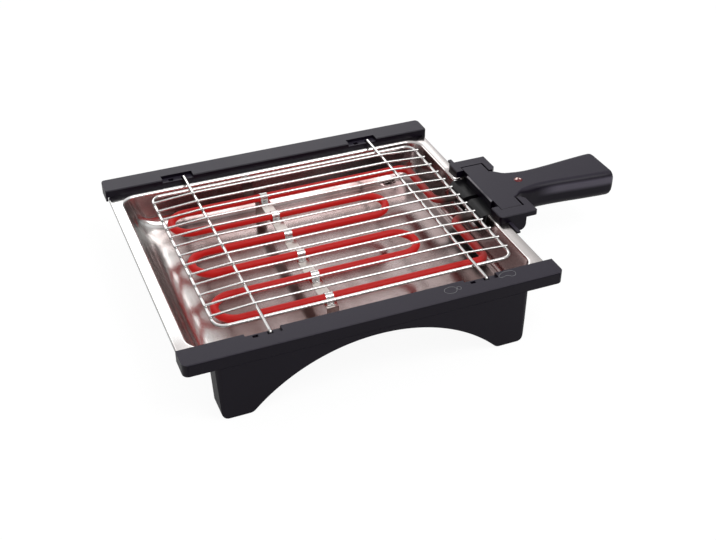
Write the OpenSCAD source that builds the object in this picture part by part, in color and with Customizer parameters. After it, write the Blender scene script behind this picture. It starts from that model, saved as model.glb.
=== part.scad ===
// Electric table grill. A stainless drip tray hangs between two black rails on arched legs.
// A bent tubular element lies in the tray, on a heating unit that lifts out by its own handle,
// and a welded wire rack lies over it, whose bent wire ends stand in holes of the rails.
// +X runs along the rails towards the handle, +Y to the rear rail, +Z up. Millimetres.

/* [Rails] */
// Length of each rail
rail_len = 374; // [370:1:378]
// Depth over both rails
body_depth = 337; // [334:1:340]
// Width of a rail
rail_w = 25; // [24:0.5:26]
// Height of the rail tops above the table
body_h = 72; // [71:1:76]
// Height of the rail tops above the tray's flange
rail_h = 8; // [7.5:0.5:9]
// Height of the rails' outer sides
skirt_h = 12.5; // [11:0.5:14]
// Radius of the rails' outer end corners
rail_end_r = 6; // [4:1:10]
// Radius of the rails' top outer edge
rail_edge_r = 1.5; // [1:0.5:3]

/* [Rack seats] */
// Distance from the tray's middle to the middle of each pocket
pocket_x = 108; // [104:0.5:110]
// Length of a pocket along the rail
pocket_len = 34; // [32:1:36]
// Distance between the two holes of a pocket
seat_pitch = 14; // [12:0.5:15]

/* [Legs] */
// Half length of a leg at its top
leg_top_half = 155; // [153:1:160]
// Half length of a leg at its feet
leg_foot_half = 152.5; // [150:0.5:154]
// How far the legs stand off the rails' middle, away from the handle
leg_shift = 4; // [0:1:6]
// Radius of the arch between the feet
arch_r = 170; // [166:1:176]
// Height of the arch's crown above the table
arch_top = 54; // [50:0.5:54]
// Radius of the outer corner of a foot
foot_r = 7; // [4:1:8]
// Wall of the moulded legs and rails
wall = 3; // [2.5:0.25:3.5]

/* [Tray] */
// Length of the tray's opening
tray_len = 344; // [340:1:346]
// Depth of the tray's opening
tray_dep = 273; // [270:1:276]
// Plan radius of the tray's corners
tray_r = 15.5; // [15.5:0.5:22]
// Height of the tray's floor above the table
tray_floor = 23; // [20:1:26]
// How far the floor lies inside the rim
tray_inset = 15; // [12:1:15]
// Thickness of the sheet steel
sheet = 1; // [0.8:0.1:1.2]

/* [Rack] */
// Length of the rack's frame
rack_len = 305; // [300:1:308]
// Depth of the rack's frame
rack_dep = 245; // [240:1:248]
// Diameter of the frame wire
frame_d = 3.6; // [3.4:0.1:4]
// Diameter of the cross wires
cross_d = 3.4; // [3:0.1:3.6]
// Diameter of the lengthwise wires
long_d = 2.3; // [2:0.1:2.6]
// Number of lengthwise wires inside the frame
long_count = 13; // [9:2:15]

/* [Heating element] */
// Diameter of the tube
tube_d = 8; // [6.5:0.5:8]
// Distance between neighbouring runs
run_pitch = 39.3; // [38:0.1:40]
// Height of the tube's axis above the table
tube_z = 54; // [53:0.5:54.5]

/* [Heating unit] */
// Reach of the handle's tip from the tray's middle
handle_reach = 337; // [325:1:348]
// Half width of the handle at its waist
waist_w = 19.5; // [18:0.5:21]
// Half width of the handle at its tip
tip_w = 26; // [23:0.5:28]
// Thickness of the handle
handle_h = 31; // [29:0.5:32]
// Wall of the housing's shells
shell = 2.5; // [2:0.25:3]
// Diameter of the bore in the cord gland
cord_bore_d = 7.4; // [6:0.2:8]

/* [Hidden] */
$fn = 64;
eps = 0.01;

steel_colour = [0.80, 0.79, 0.78];
chrome_colour = [0.92, 0.92, 0.93];
black_colour = [0.16, 0.16, 0.18];
hot_colour = [0.72, 0.16, 0.12];
screw_colour = [0.70, 0.70, 0.72];
brass_colour = [0.80, 0.65, 0.35];

// The origin is under the middle of the whole length, handle included.
rail_half = rail_len / 2;
grill_x = (rail_half - handle_reach) / 2;

// Levels
flange_top = body_h - rail_h;
flange_bottom = flange_top - sheet;
skirt_z = body_h - skirt_h;
foot_lift = 1;

// Rails: inner and outer faces, and the screws that clamp rail, flange and leg together
rail_out = body_depth / 2;
rail_in = rail_out - rail_w;
rail_lip = 5;
rail_seam = 0.3;
rail_end_wall = 2.2;
flange_half = rail_half - rail_end_wall - 0.3;
screw_y = rail_in + rail_w / 2;
foot_x = 136.5;
screw_xs = [for (x = [-foot_x, -45, 45, foot_x]) x - leg_shift];
screw_r = 2;
screw_head_r = 4;
screw_head_h = 3;
screw_access_r = 4.6;

// Rack levels: the cross wires lie on the frame wire, and the lengthwise wires on both.
// Crossing wires are pressed into each other where they are welded.
seat_x = seat_pitch / 2;
weld = 0.3;
cross_z = flange_top + 6.2;
frame_z = cross_z - (cross_d + frame_d) / 2 + weld;
long_z = cross_z + (cross_d + long_d) / 2 - weld;
long_end_z = frame_z + (frame_d + long_d) / 2 - weld;
ledge_z = cross_z - cross_d / 2 - 0.1;

function arc(cx, cy, r, a0, a1, n) =
    [for (i = [0:n]) let (a = a0 + (a1 - a0) * i / n) [cx + r * cos(a), cy + r * sin(a)]];
function smooth(t) = t * t * (3 - 2 * t);
function ramp(x, x0, x1) = smooth(min(1, max(0, (x - x0) / (x1 - x0))));

module at_grill() {
    translate([grill_x, 0, 0]) children();
}

// Both sides of the grill carry the same shapes, so the rear ones are drawn and mirrored.
module to_front() {
    mirror([0, 1, 0]) children();
}

// A plane shape in (x, z) drawn out along +Y from y0 to y1
module along_y(y0, y1) {
    translate([0, y1, 0]) rotate([90, 0, 0]) linear_extrude(y1 - y0) children();
}

// A plane shape in (y, z) drawn out along +X from x0 to x1
module along_x(x0, x1) {
    translate([x0, 0, 0]) rotate([90, 0, 90]) linear_extrude(x1 - x0) children();
}

module block(x, y, z) {
    translate([x[0], y[0], z[0]]) cube([x[1] - x[0], y[1] - y[0], z[1] - z[0]]);
}

module rounded_rect(l, w, r) {
    square([l - 2 * r, w], center = true);
    square([l, w - 2 * r], center = true);
    for (sx = [-1, 1], sy = [-1, 1])
        translate([sx * (l / 2 - r), sy * (w / 2 - r)]) circle(r);
}

// A round rod between two points
module rod(a, b, d) {
    v = b - a;
    translate(a)
        rotate([0, acos(v[2] / norm(v)), atan2(v[1], v[0])]) cylinder(d = d, h = norm(v));
}

// A wire through a list of points, with a ball at each inner point
module wire(points, d) {
    for (i = [1:len(points) - 1]) rod(points[i - 1], points[i], d);
    if (len(points) > 2)
        for (i = [1:len(points) - 2]) let (v = points[i + 1] - points[i])
            translate(points[i]) rotate([0, acos(v[2] / norm(v)), atan2(v[1], v[0])])
                sphere(d = 1.05 * d, $fn = 32);
}

// A bend of a tube: part of a ring in the XY plane, from angle a0 through sweep degrees
module bend(r, d, a0, sweep) {
    rotate([0, 0, a0]) rotate_extrude(angle = sweep) translate([r, 0]) circle(d = d, $fn = 32);
}

// ---------------------------------------------------------------- tray

rim_r = 3;
floor_r = 10;
wall_b = flange_top - rim_r - tray_floor - floor_r;
wall_lean = acos(floor_r / norm([tray_inset, wall_b])) - atan2(wall_b, tray_inset);

// Section of the tray's wall: u runs outwards from the opening's edge, v is the height.
function wall_side(off) = concat(
    [[4, flange_top - off], [rim_r, flange_top - off]],
    arc(rim_r, flange_top - rim_r, rim_r - off, 90, 180, 4),
    arc(-tray_inset, tray_floor + floor_r, floor_r + off, -wall_lean, -90, 8),
    [[-tray_r, tray_floor - off]]
);
function reversed(p) = [for (i = [len(p) - 1:-1:0]) p[i]];

module wall_section() {
    polygon(concat(wall_side(0), reversed(wall_side(sheet))));
}

module tray_opening(grow) {
    rounded_rect(tray_len + 2 * grow, tray_dep + 2 * grow, tray_r + grow);
}

flange_in_y = rail_in - 0.3;
flange_out_y = rail_out - rail_lip - 1;
tray_lip_h = 4;

// The notch in the end wall that the heating unit's nose passes through
notch_half = 40;
notch_z = 46;

module tray() at_grill() color(steel_colour) difference() {
    union() {
        tray_well();
        // flange, which the rails and legs clamp along both long sides
        translate([0, 0, flange_bottom]) linear_extrude(sheet) difference() {
            union() {
                square([2 * flange_half, 2 * flange_in_y], center = true);
                square([rail_len - 2 * rail_end_r, 2 * flange_out_y], center = true);
            }
            tray_opening(rim_r);
        }
        // down-turned lips on the two ends
        for (s = [0, 1]) mirror([s, 0, 0])
            block([flange_half - sheet, flange_half], [-flange_in_y, flange_in_y],
                  [flange_bottom - tray_lip_h, flange_bottom + eps]);
    }
    block([tray_len / 2 - tray_inset, rail_half], [-notch_half, notch_half], [notch_z, body_h]);
    for (x = screw_xs, s = [-1, 1])
        translate([x, s * screw_y, flange_bottom - 1]) cylinder(r = screw_r + 0.3, h = sheet + 2);
    for (p = bracket_screw_at, s = [-1, 1])
        translate([p[0], s * p[1], flange_bottom - 1]) cylinder(r = screw_r + 0.2, h = sheet + 2);
}

// Floor, four straight walls and four corners
module tray_well() {
    block([-tray_len / 2 + tray_r - eps, tray_len / 2 - tray_r + eps],
          [-tray_dep / 2 + tray_r - eps, tray_dep / 2 - tray_r + eps],
          [tray_floor - sheet, tray_floor]);
    for (s = [0, 1]) mirror([s, 0, 0])
        translate([tray_len / 2, tray_dep / 2 - tray_r, 0]) rotate([90, 0, 0])
            linear_extrude(tray_dep - 2 * tray_r) wall_section();
    for (s = [0, 1]) mirror([0, s, 0])
        translate([-tray_len / 2 + tray_r, tray_dep / 2, 0]) rotate([90, 0, 90])
            linear_extrude(tray_len - 2 * tray_r) wall_section();
    for (sx = [0, 1], sy = [0, 1]) mirror([sx, 0, 0]) mirror([0, sy, 0])
        translate([tray_len / 2 - tray_r, tray_dep / 2 - tray_r, 0])
            rotate_extrude(angle = 90) translate([tray_r, 0]) wall_section();
}

// ---------------------------------------------------------------- rails

rib = 3;
cell_pitch = 28;
pocket_back = rail_in + 9;
hole_y = [rail_in + 1.5, rail_in + 6.4];
hole_half = 2.6;

// The skirt along the outer side reaches down past the flange, over the leg's top edge.
module rail_section() {
    polygon(concat(
        [[rail_in, flange_top], [rail_in, body_h - 1], [rail_in + 1, body_h]],
        arc(rail_out - rail_edge_r, body_h - rail_edge_r, rail_edge_r, 90, 0, 6),
        [[rail_out, skirt_z], [rail_out - rail_lip, skirt_z], [rail_out - rail_lip, flange_top]]
    ));
}

module rail_plan() {
    r = rail_end_r;
    polygon(concat(
        [[-rail_half, rail_in - 1]],
        arc(-rail_half + r, rail_out - r, r, 180, 90, 8),
        arc(rail_half - r, rail_out - r, r, 90, 0, 8),
        [[rail_half, rail_in - 1]]
    ));
}

// One pocket: a ledge below the rail's top with two holes, open towards the tray. The bent
// ends of the rack's cross wires stand in one hole, and the other is a second place for them.
module pocket() {
    block([-pocket_len / 2, pocket_len / 2], [rail_in - 1, pocket_back], [ledge_z, body_h + 1]);
    for (x = [-seat_x, seat_x])
        block([x - hole_half, x + hole_half], hole_y, [flange_top - 1, body_h + 1]);
}

module rail() {
    difference() {
        intersection() {
            union() {
                along_x(-rail_half - 1, rail_half + 1) rail_section();
                for (s = [0, 1]) mirror([s, 0, 0])
                    block([rail_half - rail_end_wall, rail_half + 1], [rail_in, rail_out - eps],
                          [skirt_z, flange_top + eps]);
            }
            translate([0, 0, skirt_z - 1]) linear_extrude(skirt_h + 2) rail_plan();
        }
        // cells between ribs, open downwards on the flange
        difference() {
            for (i = [-6:6]) if (abs(abs(i * cell_pitch) - pocket_x) > 32)
                block([i * cell_pitch - (cell_pitch - rib) / 2, i * cell_pitch + (cell_pitch - rib) / 2],
                      [rail_in + rib, rail_out - rail_lip], [flange_top - 1, body_h - rib]);
            for (x = screw_xs) translate([x, screw_y, flange_top - 1]) cylinder(r = 4.5, h = rail_h);
        }
        for (x = screw_xs)
            translate([x, screw_y, flange_top - 1]) cylinder(r = screw_r, h = rail_h - rib + 1);
        for (s = [-1, 1]) translate([s * pocket_x, 0, 0]) pocket();
    }
}

module front_rail() at_grill() color(black_colour) to_front() rail();

module rear_rail() at_grill() color(black_colour) rail();

// ---------------------------------------------------------------- legs

arch_z = arch_top - arch_r;
foot_in_r = 8;

// Side view of a leg up to the height z1, drawn in by t for the hollow behind its face
module leg_profile(t, z1) {
    z0 = foot_lift + t;
    r = max(foot_r - t, 1);
    ra = arch_r + t;
    ri = max(foot_in_r - t, 1);
    cx = sqrt(pow(ra + ri, 2) - pow(z0 + ri - arch_z, 2));
    to_arch = atan2(arch_z - (z0 + ri), -cx);
    difference() {
        polygon(concat(
            [[-leg_top_half + t, z1]],
            arc(-leg_foot_half + t + r, z0 + r, r, 180, 270, 6),
            arc(leg_foot_half - t - r, z0 + r, r, 270, 360, 6),
            [[leg_top_half - t, z1]]
        ));
        translate([0, arch_z]) circle(r = ra, $fn = 180);
        // rounded inner corner of each foot
        for (s = [0, 1]) mirror([s, 0]) difference() {
            polygon([[cx, z0 - 1], [cx - 2 * ri, z0 - 1], [cx - 2 * ri, z0 + ri],
                     [cx + ri * cos(to_arch), z0 + ri + ri * sin(to_arch)], [cx, z0 + ri]]);
            translate([cx, z0 + ri]) circle(r = ri, $fn = 48);
        }
    }
}

module leg_plan() {
    r = 6;
    polygon(concat(
        [[-leg_top_half, rail_in]],
        arc(-leg_top_half + r, rail_out - r, r, 180, 90, 6),
        arc(leg_top_half - r, rail_out - r, r, 90, 0, 6),
        [[leg_top_half, rail_in]]
    ));
}

leg_rib_xs = [72, 92, 112];
crown_half = 52;
shoulder_z = skirt_z - rail_seam;
pad_x = 15;
pad_y = 15;
pad_h = 2.5;

module leg() {
    difference() {
        translate([-leg_shift, 0, 0]) leg_body();
        for (x = screw_xs) translate([x, screw_y, 0]) {
            cylinder(r = screw_access_r, h = flange_bottom - wall);
            cylinder(r = screw_r + 0.3, h = body_h);
        }
        foot_recesses();
    }
}

module leg_body() {
    difference() {
        intersection() {
            along_y(rail_in, rail_out) leg_profile(0, flange_bottom);
            linear_extrude(body_h) leg_plan();
        }
        // shoulder under the rail's skirt
        block([-leg_top_half - 1, leg_top_half + 1], [rail_out - rail_lip - rail_seam, rail_out + 1],
              [shoulder_z, body_h]);
        // hollow behind the face, open towards the tray, with ribs and screw shafts left in it
        difference() {
            intersection() {
                along_y(rail_in - 1, rail_out - wall) leg_profile(wall, shoulder_z - wall);
                translate([0, (rail_in + rail_out - wall) / 2 - 1, 0]) linear_extrude(body_h)
                    square([2 * (leg_top_half - wall), rail_w - wall + 2], center = true);
            }
            block([-crown_half, crown_half], [rail_in - 2, rail_out], [0, body_h]);
            for (s = [-1, 1], x = leg_rib_xs)
                block([s * x - 1.1, s * x + 1.1], [rail_in - 2, rail_out], [0, body_h]);
            for (s = [-1, 1]) translate([s * foot_x, screw_y, 0])
                cylinder(r = screw_access_r + 2, h = body_h);
        }
    }
}

module foot_recesses() {
    for (s = [-1, 1]) translate([s * foot_x - leg_shift, screw_y, 0])
        linear_extrude(pad_h) rounded_rect(pad_x, pad_y, 3);
}

module front_leg() at_grill() color(black_colour) to_front() leg();

module rear_leg() at_grill() color(black_colour) leg();

module foot_pads() at_grill() color([0.1, 0.1, 0.1]) {
    foot_recesses();
    to_front() foot_recesses();
}

// A pan-head screw standing on its head: head below z = 0, shank above
module screw(r, head_r, head_h, len) {
    difference() {
        union() {
            translate([0, 0, -head_h]) cylinder(r = head_r, h = head_h);
            cylinder(r = r, h = len);
        }
        for (a = [0, 90]) translate([0, 0, -head_h]) rotate([0, 0, a])
            cube([head_r * 1.2, head_r * 0.28, head_h], center = true);
    }
}

module frame_screws() at_grill() color(screw_colour)
    for (x = screw_xs, s = [-1, 1]) translate([x, s * screw_y, flange_bottom - wall])
        screw(screw_r, screw_head_r, screw_head_h, wall + sheet + rail_h - 4);

// ---------------------------------------------------------------- control bracket

arm_x0 = 176.3;
arm_x1 = 220;
arm_out = 61;
arm_in = 47.3;
skirt_x = 207;
base_x0 = flange_half + 1;
base_z0 = 51;
base_z1 = 54;
hook_z = body_h - 6;
guide_x0 = 184.4;
guide_x1 = 211;
front_wrap_in = 40;
back_wrap_in = 30.5;
arm_r = 3;
chamfer = 1;
bracket_screw_at = [[179.6, 44.5], [179.6, 56]];
bracket_screw_len = 6;

// Plan of one arm: a C that holds one ear of the control head
module arm_plan() {
    polygon(concat(
        [[arm_x0, front_wrap_in]],
        arc(arm_x0 + arm_r, arm_out - arm_r, arm_r, 180, 90, 4),
        arc(arm_x1 - arm_r, arm_out - arm_r, arm_r, 90, 0, 4),
        [[arm_x1, back_wrap_in + 6], [arm_x1 - 5, back_wrap_in], [guide_x1, back_wrap_in],
         [guide_x1, arm_in], [guide_x0, arm_in], [guide_x0, front_wrap_in]]
    ));
}

module arm_layer(x, z) {
    intersection() {
        translate([0, 0, z[0]]) linear_extrude(z[1] - z[0]) arm_plan();
        block(x, [0, 2 * arm_out], z);
    }
}

module control_bracket() at_grill() color(black_colour) difference() {
    union() {
        intersection() {
            union() {
                for (s = [0, 1]) mirror([0, s, 0]) {
                    arm_layer([arm_x0 - 1, arm_x1 + 1], [hook_z, body_h]);
                    arm_layer([arm_x0 - 1, skirt_x], [flange_top, hook_z]);
                    arm_layer([base_x0, skirt_x], [base_z0, flange_top]);
                }
                block([base_x0, skirt_x], [-arm_out, arm_out], [base_z0, base_z1]);
            }
            // chamfered top edges, seen from both sides, and the skirt's round lower corner
            along_y(-arm_out - 1, arm_out + 1) polygon(concat(
                [[arm_x0, base_z0], [arm_x0, body_h - chamfer], [arm_x0 + chamfer, body_h],
                 [arm_x1 - chamfer, body_h], [arm_x1, body_h - chamfer], [arm_x1, hook_z],
                 [skirt_x, hook_z]],
                arc(skirt_x - 7, base_z0 + 7, 7, 0, -90, 6)
            ));
            along_x(arm_x0 - 1, arm_x1 + 1) polygon([
                [-arm_out, base_z0], [-arm_out, body_h - chamfer], [-arm_out + chamfer, body_h],
                [arm_out - chamfer, body_h], [arm_out, body_h - chamfer], [arm_out, base_z0]
            ]);
        }
        // gussets along the tray's end lip
        for (s = [0, 1]) mirror([0, s, 0]) along_x(base_x0, base_x0 + 4)
            polygon([[arm_out - 1, base_z0 + 1], [arm_out - 1, flange_top], [arm_out + 19, flange_top],
                     [arm_out + 19, flange_top - 2]]);
        // ribs under the base
        for (y = [-30, 0, 30]) block([base_x0, skirt_x - 8], [y - 1.5, y + 1.5], [base_z0 - 3, base_z0 + eps]);
    }
    for (p = bracket_screw_at, s = [-1, 1]) translate([p[0], s * p[1], flange_top - 1])
        cylinder(r = screw_r, h = bracket_screw_len + 0.5);
}

module bracket_screws() at_grill() color(screw_colour)
    for (p = bracket_screw_at, s = [-1, 1]) translate([p[0], s * p[1], flange_bottom])
        screw(screw_r, 3.6, 2.4, bracket_screw_len);

// ---------------------------------------------------------------- heating element

half_run = run_pitch / 2;
left_turn_x = -113.5;
right_turn_x = 70;
cross_run_x = 142;
corner_r = 10;
terminal_y = 20;
rise_r = 8;
swage_lap = 0.7;
swage_len = 1.6;
pin_z = 59.6;
pin_d = 3.5;
rise_x = 166;
run_ys = [for (i = [-5:2:5]) i * half_run];

module tube_at(d) {
    // six straight runs
    for (i = [0:5]) {
        x1 = (i == 0 || i == 5) ? cross_run_x - corner_r : right_turn_x;
        rod([left_turn_x, run_ys[i], tube_z], [x1, run_ys[i], tube_z], d);
    }
    // three turns at the far end and two near the handle
    for (i = [0, 2, 4]) translate([left_turn_x, run_ys[i] + half_run, tube_z]) bend(half_run, d, 90, 180);
    for (i = [1, 3]) translate([right_turn_x, run_ys[i] + half_run, tube_z]) bend(half_run, d, -90, 180);
    // the outer runs turn in along the tray's end and meet in the middle at the terminals
    for (s = [0, 1]) mirror([0, s, 0]) {
        translate([cross_run_x - corner_r, run_ys[5] - corner_r, tube_z]) bend(corner_r, d, 0, 90);
        rod([cross_run_x, run_ys[5] - corner_r, tube_z],
            [cross_run_x, terminal_y + corner_r, tube_z], d);
        translate([cross_run_x + corner_r, terminal_y + corner_r, tube_z]) bend(corner_r, d, 180, 90);
        rod([cross_run_x + corner_r, terminal_y, tube_z], [rise_x, terminal_y, tube_z], d);
        // a short rise at 45 degrees inside the terminal nose
        translate([rise_x, terminal_y, tube_z + rise_r]) rotate([90, 0, 0]) bend(rise_r, d, -90, 45);
        // swaged end, where the cold pin comes out
        rod(rise_at(45) - swage_lap * [1, 0, 1], rise_at(45) + swage_len * [1, 0, 1], d + 0.6);
    }
}

function rise_at(a) = [rise_x + rise_r * sin(a), terminal_y, tube_z + rise_r * (1 - cos(a))];

module heating_element() at_grill() color(hot_colour) tube_at(tube_d);

pin_end_x = 196;

// The cold pins leave the tube in the nose and run back into the housing.
module pins_at(d) {
    start = rise_at(45) + swage_len * [1, 0, 1];
    corner = start + (pin_z - start[2]) * [1, 0, 1];
    for (s = [0, 1]) mirror([0, s, 0])
        wire([start, corner, [pin_end_x, terminal_y, pin_z]], d);
}

module cold_pins() at_grill() color(brass_colour) pins_at(pin_d);

// ---------------------------------------------------------------- element support

strip_x = -27;
strip_w = 12;
strip_t = 1.2;
strip_half = 110;
clip_w = 8;

// A steel strip under the runs. Its turned-down ends stand on the tray's floor.
module support_strip() at_grill() color(steel_colour) {
    z1 = tube_z - tube_d / 2;
    block([strip_x - strip_w / 2, strip_x + strip_w / 2], [-strip_half, strip_half], [z1 - strip_t, z1]);
    for (s = [0, 1]) mirror([0, s, 0]) {
        block([strip_x - strip_w / 2, strip_x + strip_w / 2], [strip_half - strip_t, strip_half],
              [tray_floor, z1]);
        block([strip_x - strip_w / 2, strip_x + strip_w / 2], [strip_half - 7, strip_half],
              [tray_floor, tray_floor + strip_t]);
    }
}

// Bright straps over the runs, with their ears riveted to the strip
module tube_clips() at_grill() color(chrome_colour)
    for (y = run_ys) translate([strip_x - clip_w / 2, y, 0]) {
        r = tube_d / 2;
        z1 = tube_z - r;
        along_x(0, clip_w) difference() {
            union() {
                translate([0, tube_z]) circle(r = r + 0.8);
                translate([-r - 0.8, z1]) square([2 * r + 1.6, r]);
                translate([-r - 5, z1]) square([2 * r + 10, 0.8]);
            }
            translate([0, tube_z]) circle(r = r);
            translate([-r, z1 - 1]) square([2 * r, r + 1]);
            translate([-r - 2, z1 - 2]) square([2 * r + 4, 2]);
        }
        for (s = [-1, 1]) translate([clip_w / 2, s * (r + 3), z1 + 0.8 - eps]) cylinder(r = 1.4, h = 0.7);
    }

// ---------------------------------------------------------------- terminal nose

nose_x0 = 164;
nose_step_x = 181.5;
nose_x1 = 190;
nose_z0 = 47;
nose_z1 = 62.8;
nose_y = [3, 38];
seam_z = flange_top + 1;

// Plan of one lobe, rounded towards the tray
module lobe_plan() {
    r = 8;
    polygon(concat(
        [[nose_x1, nose_y[0]]],
        arc(nose_x0 + r, nose_y[0] + r, r, 270, 180, 8),
        arc(nose_x0 + r, nose_y[1] - r, r, 180, 90, 8),
        [[nose_x1, nose_y[1]]]
    ));
}

// Two heat-proof lobes in the tray's notch cover the cold ends, on a slab that the housing holds.
module terminal_nose() at_grill() color(black_colour) difference() {
    r = 9;
    slab_z = head_bottom + shell + 0.1;
    union() {
        for (s = [0, 1]) mirror([0, s, 0]) intersection() {
            along_y(nose_y[0], nose_y[1]) polygon(concat(
                [[nose_x0, nose_z0 + 2]],
                arc(nose_x0 + r, nose_z1 - r, r, 180, 90, 8),
                [[nose_x1, nose_z1], [nose_x1, slab_z], [nose_step_x, slab_z],
                 [nose_step_x, nose_z0], [nose_x0 + 2, nose_z0]]
            ));
            linear_extrude(body_h) lobe_plan();
        }
        block([nose_step_x + 2, nose_x1], [-nose_y[0] - eps, nose_y[0] + eps], [slab_z, nose_z1]);
    }
    tube_at(tube_d + 0.2);
    pins_at(pin_d + 0.2);
}

// ---------------------------------------------------------------- control housing

head_x0 = 182.3;
ear_x0 = 185;
head_x1 = 209;
head_mid_y = 28;
ear_y = 46.8;
neck_w = 29.5;
waist_x = 248;
tip_r = 6;
head_bottom = base_z1;
handle_bottom = body_h - handle_h;

function half_w(x) = neck_w - 8 * ramp(x, 209, 224) - (neck_w - 8 - waist_w) * ramp(x, 226, waist_x)
    + (tip_w - waist_w) * ramp(x, waist_x, handle_reach);
function bottom_z(x) = head_bottom + (handle_bottom - head_bottom) * ramp(x, 221.5, 238);
function tip_in(x) = x <= handle_reach - tip_r ? 0
    : tip_r - sqrt(max(0, tip_r * tip_r - pow(x - handle_reach + tip_r, 2)));
function top_r(x) = 2 + 5 * ramp(x, 212, 236);
function bottom_r(x) = 2 + 8 * ramp(x, 216, 244);

// One section of the handle, drawn in by t
function ring(x, t) =
    let (w = half_w(x) - t - tip_in(x), z0 = bottom_z(x) + t + tip_in(x), z1 = body_h - t - tip_in(x),
         rt = max(min(top_r(x) - t, 0.42 * (z1 - z0)), 1),
         rb = max(min(bottom_r(x) - t, 0.52 * (z1 - z0)), 1), n = 5)
    concat(arc(w - rb, z0 + rb, rb, -90, 0, n), arc(w - rt, z1 - rt, rt, 0, 90, n),
           arc(-w + rt, z1 - rt, rt, 90, 180, n), arc(-w + rb, z0 + rb, rb, 180, 270, n));

module loft(xs, t) {
    n = len(ring(xs[0], t));
    last = len(xs) - 1;
    polyhedron(
        points = [for (x = xs) for (p = ring(x, t)) [x, p[0], p[1]]],
        faces = concat(
            [[for (j = [n - 1:-1:0]) n - 1 - j]],
            [[for (j = [0:n - 1]) last * n + n - 1 - j]],
            [for (i = [0:last - 1], j = [0:n - 1]) let (k = (j + 1) % n)
                each [[i * n + j, (i + 1) * n + j, (i + 1) * n + k], [i * n + j, (i + 1) * n + k, i * n + k]]]
        ),
        convexity = 4
    );
}

outer_xs = concat([head_x1 - 1, 211, 214, 217, 220, 224, 230, 236, 242, waist_x, 262, 280, 300],
                  [for (d = [15, tip_r, 4, 2.2, 1, 0.3, 0]) handle_reach - d]);
inner_xs = concat([head_x1 - 6, 217, 225, 232, 240, waist_x, 270, 300], [handle_reach - tip_r - 1]);

module head_plan() {
    polygon([
        [head_x0, -head_mid_y], [head_x0, head_mid_y], [ear_x0, head_mid_y], [ear_x0, ear_y],
        [head_x1, ear_y], [head_x1, -ear_y], [ear_x0, -ear_y], [ear_x0, -head_mid_y]
    ]);
}

module housing_solid() {
    // head, with a chamfered edge towards the rack; under the flange it fits the tray's notch
    intersection() {
        union() {
            translate([0, 0, seam_z]) linear_extrude(body_h - seam_z) head_plan();
            intersection() {
                translate([0, 0, head_bottom]) linear_extrude(seam_z - head_bottom + eps) head_plan();
                union() {
                    block([base_x0 + 1, head_x1], [-ear_y, ear_y], [head_bottom, body_h]);
                    block([head_x0, head_x1], [-notch_half + 0.6, notch_half - 0.6], [head_bottom, body_h]);
                }
            }
        }
        along_y(-ear_y - 1, ear_y + 1) polygon([
            [head_x0, head_bottom], [head_x0, body_h - chamfer], [head_x0 + chamfer, body_h],
            [head_x1, body_h], [head_x1, head_bottom]
        ]);
        along_x(head_x0 - 1, head_x1 + 1) polygon([
            [-ear_y, head_bottom], [-ear_y, body_h - chamfer], [-ear_y + chamfer, body_h],
            [ear_y - chamfer, body_h], [ear_y, body_h - chamfer], [ear_y, head_bottom]
        ]);
    }
    loft(outer_xs, 0);
}

module housing_space() {
    z = [head_bottom + shell, body_h - shell];
    block([base_x0 + 1 + shell, head_x1 - shell], [-ear_y + shell, ear_y - shell], z);
    block([head_x0 + shell, head_x1 - shell], [-head_mid_y + shell, head_mid_y - shell], z);
    loft(inner_xs, shell);
}

lens_x = 230;
lens_r = 4.6;
gland_z = 56.5;
gland_r = 8;
gland_len = 11;
plunger_x = 198;
plunger_r = 3;
housing_screw_at = [[197, 38.5], [197, -38.5], [266, 0], [306, 0]];
housing_screw_r = 1.5;
boss_r = 3.6;

module housing_bosses() {
    for (p = housing_screw_at) translate([p[0], p[1], 0])
        intersection() {
            cylinder(r = boss_r, h = body_h - 1);
            translate([0, 0, bottom_z(p[0]) + 1]) cylinder(r = boss_r, h = body_h);
        }
}

module gland_seat() {
    translate([handle_reach - gland_len, 0, gland_z]) rotate([0, 90, 0])
        cylinder(r = gland_r, h = gland_len + 1);
}

module housing_shell() {
    difference() {
        union() {
            difference() {
                housing_solid();
                housing_space();
            }
            housing_bosses();
        }
        gland_seat();
        for (p = housing_screw_at) translate([p[0], p[1], bottom_z(p[0]) - 1]) {
            cylinder(r = housing_screw_r, h = body_h - shell - bottom_z(p[0]));
            cylinder(r = 3.1, h = 3.8);
        }
    }
}

module housing_upper() at_grill() color(black_colour) difference() {
    intersection() {
        housing_shell();
        block([head_x0 - 1, handle_reach + 1], [-100, 100], [seam_z, body_h + 1]);
    }
    translate([lens_x, 0, body_h - 2 * shell]) cylinder(r = lens_r, h = 4 * shell);
}

module housing_lower() at_grill() color(black_colour) difference() {
    intersection() {
        housing_shell();
        block([head_x0 - 1, handle_reach + 1], [-100, 100], [handle_bottom - 1, seam_z]);
    }
    // mouth that the nose's slab is held in
    block([head_x0 - 1, nose_x1], [-nose_y[1] - 0.1, nose_y[1] + 0.1],
          [head_bottom + shell, nose_z1 + 0.1]);
    translate([plunger_x, 0, head_bottom - 1]) cylinder(r = plunger_r + 0.3, h = 2 * shell);
}

module housing_screws() at_grill() color(screw_colour)
    for (p = housing_screw_at) translate([p[0], p[1], bottom_z(p[0]) + 2.8])
        screw(housing_screw_r, 3, 2, body_h - shell - 4.8 - bottom_z(p[0]));

// Red lens, a low dome that stands a little above the housing
module pilot_lens() at_grill() color([0.75, 0.08, 0.08]) translate([lens_x, 0, 0]) {
    intersection() {
        translate([0, 0, body_h - 8]) sphere(r = 9.4, $fn = 48);
        translate([0, 0, body_h - shell - 0.8]) cylinder(r = lens_r - 0.05, h = 10);
    }
    translate([0, 0, body_h - shell - 1.6]) cylinder(r = lens_r + 1, h = 1.6);
}

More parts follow.
